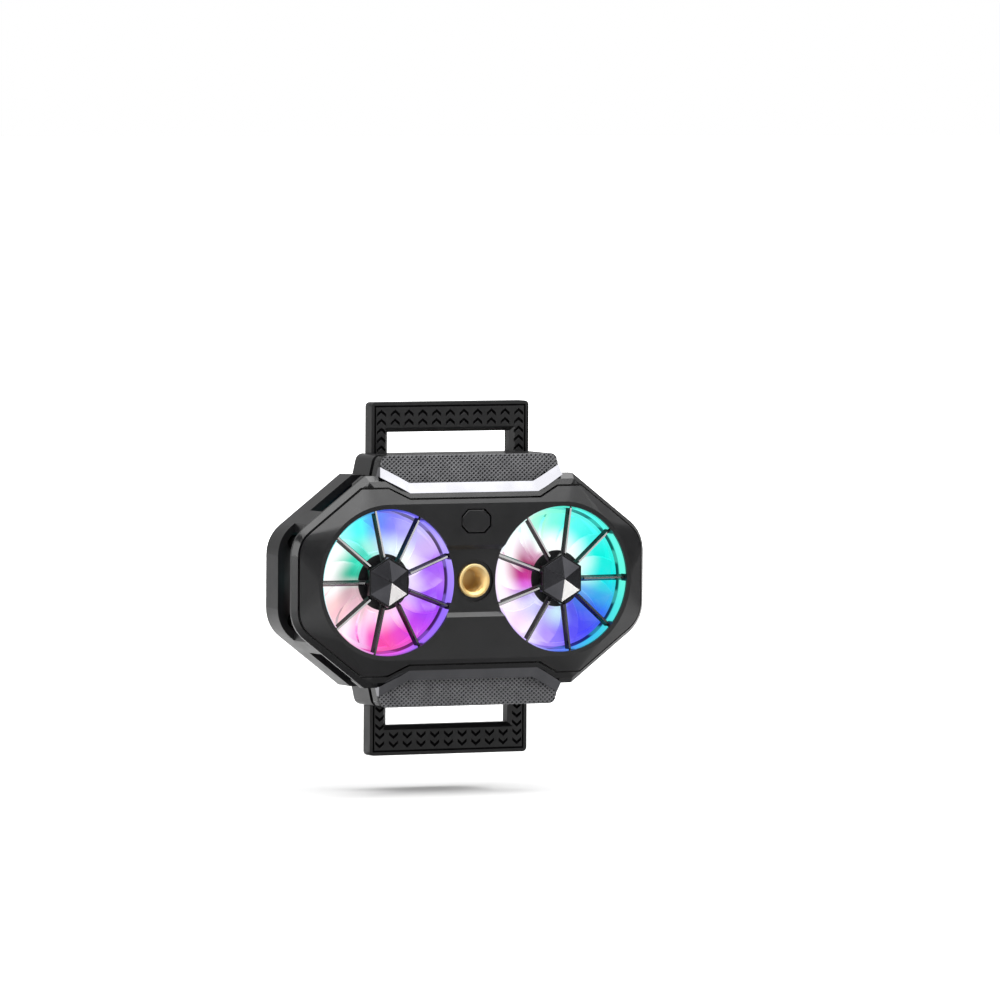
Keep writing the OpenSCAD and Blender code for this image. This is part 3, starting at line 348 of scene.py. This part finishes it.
# Each has two tones, a roughness, the grain's size and height in millimetres, and an IOR unless it is 1.53
finishes = {
    # ABS from a spark-eroded mould: satin, so it greys softly where it faces the light
    "fascia": moulded("satin_abs_fascia", "#0A0A0B", "#0D0D0F", 0.32, 0.28, 0.006),
    "button": moulded("satin_abs_button", "#0A0A0B", "#0D0D0F", 0.32, 0.28, 0.006),
    "rear_casing": moulded("satin_abs_rear", "#0B0B0C", "#0E0E10", 0.32, 0.28, 0.006),
    # The same ABS from a polished mould, so that bevels and grooves draw sharp bright lines
    "casing": moulded("polished_abs_cover", "#09090A", "#0C0C0D", 0.22, 0.35, 0.004),
    # ABS from a mirror mould: black, with a clear image of the lamps
    "gloss_black": moulded("piano_black_abs", "#070708", "#0A0A0B", 0.14, 0.6, 0.001),
    # Nylon: a dull, wide sheen on the arms, and duller still where glass fibre fills it
    "arm": moulded("matt_nylon_arm", "#09090A", "#0C0C0D", 0.42, 0.3, 0.01),
    "frame_black": moulded("glass_filled_nylon", "#08080A", "#0C0C0E", 0.5, 0.3, 0.008),
    # Silicone: almost no gloss, dark grey on the hooks, on the grips painted pale on the ridges and black in
    # the pits, and blue as a gap filler
    "rubber": moulded("silicone_rubber_pad", "#2A2A2C", "#333335", 0.6, 0.25, 0.01, 1.41),
    "grip": ridged_rubber(),
    "thermal_pad": moulded("gap_filler_silicone", "#4F7391", "#5F86A5", 0.6, 0.3, 0.02, 1.41),
    # Inner pieces: grey switch, green board, chalky white ceramic and charcoal ferrite
    "switch": moulded("switch_housing", "#6E7073", "#85878A", 0.4, 0.3, 0.006),
    "board": moulded("solder_mask_board", "#1E4A2C", "#28603A", 0.3, 0.4, 0.004),
    "ceramic": moulded("alumina_ceramic", "#D4D1C6", "#E6E3DA", 0.5, 0.25, 0.008, 1.76),
    "magnet": moulded("bonded_ferrite", "#2E2B29", "#3A3735", 0.55, 0.25, 0.01),
    # Steel: bright and sharp when ground, near black with a soft sheen under black oxide
    "steel": metal("ground_steel", "#B4B6BA", "#C8CACE", 0.25, 0.3, 0.002),
    "black_screw": metal("black_oxide_steel", "#2A2A2C", "#343436", 0.38, 0.3, 0.004),
    # Aluminium: pale and evenly soft, as bead blasting leaves it
    "aluminium": metal("bead_blasted_aluminium", *ALUMINIUM),
    # Copper under clear enamel, warm and dark; bronze, porous and duller; brass, pale gold and soft
    "copper": metal("enamelled_copper", "#9A4F26", "#B8652F", 0.3, 0.3, 0.006),
    "bronze": metal("sintered_bronze", "#9C7840", "#B58C4C", 0.42, 0.25, 0.008),
    "brass": metal("turned_brass", "#EFCB84", "#F8E3AE", 0.52, 0.3, 0.006),
}
# The strokes cut into the arms get a rough floor with painted shade: darker than the arm, with its reflection
# dulled
engraved_shade_finish = moulded("engraved_nylon_painted_shade", "#030304", "#050506", 0.85, 0.3, 0.01, 1.2)
# Dark chrome plating: white where it mirrors the lamps and grey where it mirrors the floor
trim_finish = metal("dark_chrome_trim", "#7E7E82", "#88888C", 0.16, 0.6, 0.0015)

# Pieces with a finish of their own: the caps with a painted highlight, the rings' own light, and all else
# that the LEDs light, with that light painted on as a glow, brightest at the blades
own_finish = {"heat_sink": aluminium_painted_glow()}
for side, fan_x, inner, outer, ring in (
        ("left", -FAN_X, LEFT_INNER, LEFT_OUTER, LEFT_RING),
        ("right", FAN_X, RIGHT_INNER, RIGHT_OUTER, RIGHT_RING)):
    own_finish[side + "_hub_cap"] = dark_chrome_cap_painted_highlight(fan_x)
    own_finish[side + "_light_ring"] = lit_ring(side + "_clear_polycarbonate", fan_x, ring)
    # Blades, LED boards and fan frames: the LEDs' light painted on as a glow of these strengths
    for part, material, strength in (
            ("_impeller", "_frosted_polycarbonate_painted_glow", 0.92),
            ("_led_board", "_white_solder_mask_painted_glow", 0.75),
            ("_fan_frame", "_nylon_painted_glow", 0.5)):
        own_finish[side + part] = painted_led_glow(side + material, fan_x, inner, outer, strength)

for name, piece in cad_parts.items():
    slot_name = piece.material_slots[0].name
    chosen = own_finish.get(name) or finishes[slot_name]
    for held in piece.material_slots:
        held.material = chosen


# Rounded edges

def smooth_faces():
    """Node group that shades every face smooth, for use as a modifier on the solids."""
    group = bpy.data.node_groups.new("smooth_faces", "GeometryNodeTree")
    group.interface.new_socket("Geometry", in_out="INPUT", socket_type="NodeSocketGeometry")
    group.interface.new_socket("Geometry", in_out="OUTPUT", socket_type="NodeSocketGeometry")
    entry = put(group, "NodeGroupInput")
    smooth = put(group, "GeometryNodeSetShadeSmooth", {0: entry.outputs[0]})
    put(group, "NodeGroupOutput", {0: smooth.outputs[0]})
    return group


SMOOTH = smooth_faces()


def soften(piece, width, least_angle=9):
    """Rounds a piece's sharp edges by a width in millimetres and keeps its flats flat."""
    weld = piece.modifiers.new("weld", "WELD")
    weld.merge_threshold = SAME_CORNER
    flat = piece.modifiers.new("flat", "DECIMATE")
    flat.decimate_type = "DISSOLVE"
    flat.angle_limit = SAME_FLAT
    rounded = piece.modifiers.new("rounded", "BEVEL")
    rounded.width = width * MM
    rounded.segments = 2
    rounded.limit_method = "ANGLE"
    rounded.angle_limit = math.radians(least_angle)
    rounded.use_clamp_overlap = True
    shade = piece.modifiers.new("shade", "NODES")
    shade.node_group = SMOOTH
    normals = piece.modifiers.new("normals", "WEIGHTED_NORMAL")
    normals.keep_sharp = False


for name, width in (
        ("front_cover", 0.2), ("fascia", 0.22), ("rear_housing", 0.2), ("back_plate", 0.2),
        ("left_grille", 0.06), ("right_grille", 0.06), ("left_hub_cap", 0.07), ("right_hub_cap", 0.07),
        ("power_button", 0.2), ("cold_plate", 0.15), ("thermal_pad", 0.12),
        ("upper_hook_pad", 0.06), ("lower_hook_pad", 0.06)):
    soften(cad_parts[name], width)


# Camera and studio

def aim_camera():
    """Puts the camera at the photograph's angle and framing."""
    azimuth, elevation, roll = math.radians(-26.9), math.radians(2.84), math.radians(0.36)
    distance, sensor = 2300.0, 36.0
    picture, px_per_mm = 1000, 4.5
    # Where the picture shows the middle of the fan rims
    middle_px = (476.7, 581.0)
    back = Vector((math.sin(azimuth) * math.cos(elevation), -math.cos(azimuth) * math.cos(elevation),
                   math.sin(elevation)))
    turn = (-back).to_track_quat("-Z", "Y").to_matrix()
    right, up = turn.col[0], turn.col[1]
    aim = (Vector((0, RIM_Y, 0)) + right * ((picture / 2 - middle_px[0]) / px_per_mm)
           + up * ((middle_px[1] - picture / 2) / px_per_mm))
    camera = bpy.data.objects.new("camera", bpy.data.cameras.new("camera"))
    camera.data.sensor_width = sensor
    camera.data.lens = sensor * px_per_mm * distance / picture
    camera.data.clip_start, camera.data.clip_end = 0.05, 40.0
    place = Matrix.Translation((aim + back * distance) * MM)
    camera.matrix_world = place @ turn.to_4x4() @ Matrix.Rotation(roll, 4, "Z")
    scene.collection.objects.link(camera)
    scene.camera = camera


def light_room():
    """White room. Mirrored in the part, it is paler behind than in front."""
    scene.view_settings.view_transform = "Standard"
    world = bpy.data.worlds.new("studio")
    scene.world = world
    world.use_nodes = True
    tree = world.node_tree
    tree.nodes.clear()
    path = put(tree, "ShaderNodeLightPath")
    place = put(tree, "ShaderNodeTexCoord").outputs["Generated"]
    toward = put(tree, "ShaderNodeSeparateXYZ", {"Vector": place})
    mirrored = put(tree, "ShaderNodeMapRange", {
        "Value": toward.outputs["Y"], "From Min": 0.15, "From Max": 0.5, "To Min": 0.12, "To Max": 0.5})
    level = put(tree, "ShaderNodeMix", {
        "Factor": path.outputs["Is Glossy Ray"], "A": 1.0, "B": mirrored.outputs["Result"]})
    white = put(tree, "ShaderNodeBackground", {"Color": (1, 1, 1, 1), "Strength": level.outputs["Result"]})
    put(tree, "ShaderNodeOutputWorld", {"Surface": white.outputs[0]})


def lay_floor():
    """Backdrop paper: white to the eye far off, with painted shade that makes it a little darker near the
    part, so that its shadow shows.
    """
    half = 9
    corners = [(-half, -half, 0), (half, -half, 0), (half, half, 0), (-half, half, 0)]
    mesh = bpy.data.meshes.new("floor")
    mesh.from_pydata(corners, [], [(0, 1, 2, 3)])
    floor = bpy.data.objects.new("floor", mesh)
    floor.location.z = cad_box[0].z - ARM_ROOM * MM
    paper, tree, surface, place = start_finish("backdrop_paper", Roughness=0.85)
    path = put(tree, "ShaderNodeLightPath")
    away = put(tree, "ShaderNodeVectorMath", {0: place}, operation="LENGTH").outputs["Value"]
    across = put(tree, "ShaderNodeSeparateXYZ", {"Vector": place})
    # Each level follows a distance in metres, from where to where it changes, and its first and last value
    levels = {}
    for label, follows, start, stop, first, last in (
            ("painted_shade_beneath", away, 0.05, 0.14, 0.13, 0.55),
            ("far_off", away, 0.2, 0.35, 1.0, 0.12),
            ("behind", across.outputs["Y"], 0.0, 0.05, 0.08, 0.55),
            ("on_left", across.outputs["X"], -0.15, -0.3, 0.08, 0.6),
            ("painted_shade_to_the_eye", away, 0.1, 0.9, 0.55, 1.0),
            ("white_veil", away, 0.25, 0.9, 0.0, 1.0)):
        change = put(tree, "ShaderNodeMapRange", {
            "Value": follows, "From Min": start, "From Max": stop, "To Min": first, "To Max": last})
        levels[label] = change.outputs["Result"]
    # Painted reflection: mirrored in the part, the paper is painted dark beneath it, as painted shade, and
    # far to the front and right, else pale
    in_front = put(tree, "ShaderNodeMath", {0: levels["painted_shade_beneath"], 1: levels["far_off"]}, operation="MULTIPLY")
    beside = put(tree, "ShaderNodeMath", {0: levels["behind"], 1: levels["on_left"]}, operation="MAXIMUM")
    mirrored = put(tree, "ShaderNodeMath", {
        0: in_front.outputs[0], 1: beside.outputs[0]}, operation="MAXIMUM")
    level = put(tree, "ShaderNodeMix", {
        "Factor": path.outputs["Is Glossy Ray"], "A": levels["painted_shade_to_the_eye"], "B": mirrored.outputs[0]})
    tree.links.new(level.outputs["Result"], surface.inputs["Base Color"])
    # Far off it fades into the white room, so that no horizon shows
    surface.inputs["Emission Color"].default_value = (1, 1, 1, 1)
    veil = put(tree, "ShaderNodeMath", {
        0: path.outputs["Is Camera Ray"], 1: levels["white_veil"]}, operation="MULTIPLY")
    tree.links.new(veil.outputs[0], surface.inputs["Emission Strength"])
    mesh.materials.append(paper)
    scene.collection.objects.link(floor)


def hang_lamps():
    """A large soft box overhead, two weak ones, and two that draw lines along the edges and the spokes."""
    for label, spot, size, watts in (
            ("overhead", (0.1, -0.12, 0.6), (1.1, 0.9), 13.0),
            ("front", (0.55, -1.05, 0.05), (0.5, 0.5), 0.26),
            ("right", (0.72, -0.62, 0.39), (0.3, 0.3), 0.4),
            ("left_strip", (-0.95, -0.31, 0.3), (0.4, 0.66), 3.5),
            ("spoke_light", (0.34, -1.1, -0.06), (1.0, 0.6), 23.0)):
        lamp = bpy.data.lights.new(label, "AREA")
        lamp.shape = "RECTANGLE"
        lamp.size, lamp.size_y = size
        lamp.energy = watts
        held = bpy.data.objects.new(label, lamp)
        held.location = spot
        held.rotation_euler = (-Vector(spot)).to_track_quat("-Z", "Y").to_euler()
        scene.collection.objects.link(held)


aim_camera()
light_room()
lay_floor()
hang_lamps()


# Pieces with finer shape than the solids

def new_piece(name, verts, faces, finish, smooth=False):
    """A mesh piece from points in millimetres."""
    mesh = bpy.data.meshes.new(name)
    mesh.from_pydata([Vector(v) * MM for v in verts], [], faces)
    mesh.validate()
    mesh.materials.append(finish)
    if smooth:
        mesh.polygons.foreach_set("use_smooth", [True] * len(mesh.polygons))
    piece = bpy.data.objects.new(name, mesh)
    scene.collection.objects.link(piece)
    return piece


def prism(outline, y0, y1):
    """Points and faces of a flat outline in X and Z, filled from y0 to y1."""
    n = len(outline)
    verts = [(x, y, z) for y in (y0, y1) for x, z in outline]
    faces = [list(range(n)), list(range(2 * n - 1, n - 1, -1))]
    faces += [[i, i + n, (i + 1) % n + n, (i + 1) % n] for i in range(n)]
    return verts, faces


def gather(shapes):
    """Joins several (points, faces) pairs into one."""
    verts, faces = [], []
    for more_verts, more_faces in shapes:
        start = len(verts)
        verts += more_verts
        faces += [[i + start for i in face] for face in more_faces]
    return verts, faces


def face_out(piece):
    """Turns every face of a closed piece outwards."""
    work = bmesh.new()
    work.from_mesh(piece.data)
    bmesh.ops.recalc_face_normals(work, faces=work.faces)
    work.to_mesh(piece.data)
    work.free()


def carve(piece, tool, operation):
    """Cuts a piece with a tool, and throws the tool away."""
    face_out(piece)
    face_out(tool)
    cut = piece.modifiers.new("cut", "BOOLEAN")
    cut.operation = operation
    cut.solver = "EXACT"
    cut.object = tool
    cut.material_mode = "TRANSFER"
    seen = piece.evaluated_get(bpy.context.evaluated_depsgraph_get())
    old = piece.data
    piece.data = bpy.data.meshes.new_from_object(seen)
    piece.modifiers.clear()
    bpy.data.meshes.remove(old)
    bpy.data.objects.remove(tool)


def copy_of(node, name):
    """A free copy of a solid, with its split corners joined again."""
    piece = bpy.data.objects.new(name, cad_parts[node].data.copy())
    scene.collection.objects.link(piece)
    work = bmesh.new()
    work.from_mesh(piece.data)
    bmesh.ops.remove_doubles(work, verts=work.verts, dist=SAME_CORNER)
    bmesh.ops.dissolve_limit(work, angle_limit=SAME_FLAT, verts=work.verts, edges=work.edges)
    work.to_mesh(piece.data)
    work.free()
    return piece


def engraved_arm(node, name, side):
    """Clamp arm with a line cut inside its border, and rows of chevrons."""
    border, line_w, line_deep = 0.75, 0.4, 0.4
    half, rise, stroke, stroke_deep = 1.12, 0.92, 0.7, 0.6
    columns, rows, crossbar_rows = 11, 11, 2
    first_row, row_step, window_edge = 37.75, 1.98, 0.6
    # The line runs on into the housing, and the cuts start in front of the arm
    foot, ahead = 12.0, 1.0
    edge_round, edge_angle = 0.08, 24
    face = depth(ARM_DEPTH)
    out_x, out_z = ARM_X - border, ARM_OUT - border
    in_x, in_z = out_x - line_w, out_z - line_w
    line = [(-out_x, foot), (-out_x, out_z), (out_x, out_z), (out_x, foot),
            (in_x, foot), (in_x, in_z), (-in_x, in_z), (-in_x, foot)]
    chevron = [(-half, -rise - stroke), (-half, -rise), (0, 0), (half, -rise),
               (half, -rise - stroke), (0, -stroke)]
    shapes = [prism([(x, side * z) for x, z in line], face - ahead, face + line_deep)]
    leg_x = (in_x + WINDOW_X + window_edge) / 2
    for row in range(rows):
        for column in range(columns):
            on_leg = column in (0, columns - 1)
            if row >= crossbar_rows and not on_leg:
                continue
            middle = leg_x * (2 * column / (columns - 1) - 1)
            outline = [(middle + x, side * (first_row - row_step * row + z)) for x, z in chevron]
            shapes.append(prism(outline, face - ahead, face + stroke_deep))
    piece = copy_of(node, name)
    carve(piece, new_piece("arm_tool", *gather(shapes), engraved_shade_finish), "DIFFERENCE")
    soften(piece, edge_round, edge_angle)
    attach(piece, "upper_clamp" if side > 0 else "lower_clamp")
    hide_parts(node)


def shoulder_end(offset):
    """Fold and outer end of a line along the pad's slanted side, moved off by an offset."""
    x = PAD_X + math.tan(PAD_SLOPE / 2) * offset
    z = PAD_Z - offset
    across, up = math.cos(PAD_SLOPE), math.sin(PAD_SLOPE)
    reach = (SHOULDER_X + (SHOULDER_Z - z) * SHOULDER_DRAFT - x) / (across + up * SHOULDER_DRAFT)
    return (x, z), (x + across * reach, z + up * reach)


def pad_outline():
    """Outline of the upper pad, with its outer corners rounded as the shoulder's are."""
    corner, tip = shoulder_end(0)
    lean = math.atan(SHOULDER_DRAFT)
    middle_z = SHOULDER_Z - SHOULDER_R
    middle_x = SHOULDER_X + SHOULDER_R * SHOULDER_DRAFT - SHOULDER_R / math.cos(lean)
    steps = 8
    turns = [lean + (math.pi / 2 - lean) * i / steps for i in range(steps + 1)]
    half = [corner, tip] + [
        (middle_x + SHOULDER_R * math.cos(t), middle_z + SHOULDER_R * math.sin(t)) for t in turns]
    return half + [(-x, z) for x, z in reversed(half)]


def knurled_pad(node, name, side):
    """Rubber pad with a net of ridges round small four-sided pits, cut to the pad's outline."""
    half_x, half_z, deep, land = 0.55, 0.48, 0.4, 0.78
    face, back = depth(PAD_DEPTH), depth(PAD_BACK)
    # The net reaches past the pad on all sides, and the outline then trims it
    spare, spare_share = 1.0, 1.1
    low_z = PAD_Z - spare
    columns = int(SHOULDER_X * spare_share / half_x)
    rows = int((SHOULDER_Z + spare - low_z) / half_z)
    verts, faces, corner = [], [], {}

    def corner_at(i, k):
        """Number of the point where ridges cross, made when first asked for."""
        if (i, k) not in corner:
            corner[i, k] = len(verts)
            verts.append((i * half_x, face, side * (low_z + k * half_z)))
        return corner[i, k]

    for i in range(-columns, columns + 1):
        for k in range(rows + 1):
            if (i + k) % 2:
                continue
            outer = [corner_at(i + a, k + b) for a, b in ((1, 0), (0, 1), (-1, 0), (0, -1))]
            middle = Vector((i * half_x, face, side * (low_z + k * half_z)))
            start = len(verts)
            verts += [tuple(middle.lerp(Vector(verts[v]), land)) for v in outer]
            verts.append((middle.x, face + deep, middle.z))
            for j in range(4):
                n = (j + 1) % 4
                faces.append([outer[j], outer[n], start + n, start + j])
                faces.append([start + j, start + n, start + 4])
    net = new_piece(name, verts, faces, finishes["grip"])
    work = bmesh.new()
    work.from_mesh(net.data)
    walls = bmesh.ops.extrude_edge_only(work, edges=[edge for edge in work.edges if edge.is_boundary])
    for v in walls["geom"]:
        if isinstance(v, bmesh.types.BMVert):
            v.co.y = (back + spare) * MM
    bmesh.ops.holes_fill(work, edges=[edge for edge in work.edges if edge.is_boundary])
    work.to_mesh(net.data)
    work.free()
    outline = [(x, side * z) for x, z in pad_outline()]
    carve(net, new_piece("pad_tool", *prism(outline, face - spare, back), finishes["grip"]), "INTERSECT")
    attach(net, "housing")
    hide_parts(node)


def threaded_insert():
    """Turned brass insert with a chamfered flange, and a helical thread down to its closed end."""
    around, rows = 72, 72
    pitch, minor, major = 1.27, 2.55, 3.05
    floor_t, lead, axis_r = 0.5, 0.35, 0.02
    mouth_r, flange_r, flange_t, body_r = 3.2, 3.75, 0.8, 3.4
    chamfer, edge_r, edge_deep = 0.15, 0.05, 0.02
    front, back = depth(INSERT_FRONT), depth(INSERT_BACK)
    floor = back - floor_t
    # Radius and Y of each ring of points, from the bore's floor out to the back. Thread rings have no radius
    rings = [(axis_r, floor), (minor - edge_r, floor)]
    rings += [(None, floor + (front + lead - floor) * (row + 0.5) / rows) for row in range(rows)]
    rings += [(mouth_r - edge_r, front + edge_deep), (mouth_r, front),
              (flange_r - chamfer, front), (flange_r, front + chamfer), (flange_r, front + flange_t),
              (body_r, front + flange_t), (body_r, back), (axis_r, back)]
    verts = []
    for r, y in rings:
        for j in range(around):
            phase = ((y - front) / pitch - j / around) % 1
            reach = r or minor + (major - minor) * abs(2 * phase - 1)
            turn = 2 * math.pi * j / around
            verts.append((reach * math.cos(turn), y, reach * math.sin(turn)))
    total = len(rings)
    faces = [[i * around + j, i * around + (j + 1) % around,
              (i + 1) * around + (j + 1) % around, (i + 1) * around + j]
             for i in range(total - 1) for j in range(around)]
    faces += [list(range(around)), list(range((total - 1) * around, total * around))]
    piece = new_piece("threaded_insert", verts, faces, finishes["brass"])
    face_out(piece)
    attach(piece, "housing")
    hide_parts("tripod_insert")


def chrome_trim(name, side):
    """Plated strip along a grip pad's inner edge, sloped towards the pad."""
    wide, lift, steps = 2.15, 0.04, 12
    # Near its folds the strip stays in front of the cover's bevel, and only then falls to its ends
    fall_from = 0.3
    pad_corner, pad_end = 2.66, 3.6
    rim_corner, rim_end = 1.04, 2.5
    sharp_from = 14

    def line(offset, corner_depth, end_depth):
        """Points of one long edge of the strip, from its left end to its right."""
        corner, end = shoulder_end(offset)
        half = []
        for i in range(steps + 1):
            share = i / steps
            x, z = (a + (b - a) * share for a, b in zip(corner, end))
            fall = max(0.0, (share - fall_from) / (1 - fall_from))
            half.append((x, depth(corner_depth + (end_depth - corner_depth) * fall), side * z))
        return [(-x, y, z) for x, y, z in reversed(half)] + half

    rows = [line(-lift, pad_corner, pad_end), line(wide, rim_corner, rim_end),
            line(wide, PAD_BACK, PAD_BACK), line(-lift, PAD_BACK, PAD_BACK)]
    verts = [v for row in rows for v in row]
    n, count = len(rows[0]), len(rows)
    faces = [[r * n + i, r * n + i + 1, (r + 1) % count * n + i + 1, (r + 1) % count * n + i]
             for r in range(count) for i in range(n - 1)]
    faces += [[r * n for r in range(count)], [r * n + n - 1 for r in reversed(range(count))]]
    piece = new_piece(name, verts, faces, trim_finish, smooth=True)
    face_out(piece)
    piece.data.set_sharp_from_angle(angle=math.radians(sharp_from))
    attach(piece, "housing")


def ridge_caps(name, fan_x, first_turn):
    """Gloss land along the ridge of each grille spoke."""
    spokes, near, far = 9, 5.8, 16.2
    ridge_r, ridge_depth, ridge_fall = 4.2, 0.3, 1.1 / 12.43
    top_half, foot_half, proud, sunk = 0.2, 0.36, 0.02, 0.5
    # On spokes that point down and left they lean up a little, to mirror the lamp and not the floor
    lean, points_down = 0.16, -0.1
    section = [(-top_half, -proud), (top_half, -proud), (foot_half, sunk), (-foot_half, sunk)]
    shapes = []
    for spoke in range(spokes):
        turn = math.radians(first_turn + spoke * 360 / spokes)
        across, up = math.cos(turn), math.sin(turn)
        tilt = lean if up < points_down and across < 0 else 0.0
        verts = []
        for r in (near, far):
            top = ridge_depth + (r - ridge_r) * ridge_fall
            for side, down in section:
                y = depth(top + down - tilt * side)
                verts.append((fan_x + r * across - side * up, y, r * up + side * across))
        faces = [[i, (i + 1) % 4, (i + 1) % 4 + 4, i + 4] for i in range(4)]
        shapes.append((verts, faces + [[3, 2, 1, 0], [4, 5, 6, 7]]))
    piece = new_piece(name, *gather(shapes), finishes["gloss_black"])
    face_out(piece)
    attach(piece, "housing")
    return piece


def light_ridges(*pieces):
    """Lets one lamp serve the spokes' ridges alone, so that it draws a white line along each."""
    ridges = bpy.data.collections.new("ridges")
    for piece in pieces:
        ridges.objects.link(piece)
    linking = bpy.data.objects["spoke_light"].light_linking
    linking.receiver_collection = ridges
    linking.blocker_collection = ridges


engraved_arm("upper_arm", "upper_engraved_arm", 1)
engraved_arm("lower_arm", "lower_engraved_arm", -1)
knurled_pad("upper_grip_pad", "upper_knurled_pad", 1)
knurled_pad("lower_grip_pad", "lower_knurled_pad", -1)
threaded_insert()
chrome_trim("upper_trim", 1)
chrome_trim("lower_trim", -1)
light_ridges(ridge_caps("left_ridge_caps", -FAN_X, 180), ridge_caps("right_ridge_caps", FAN_X, 0))
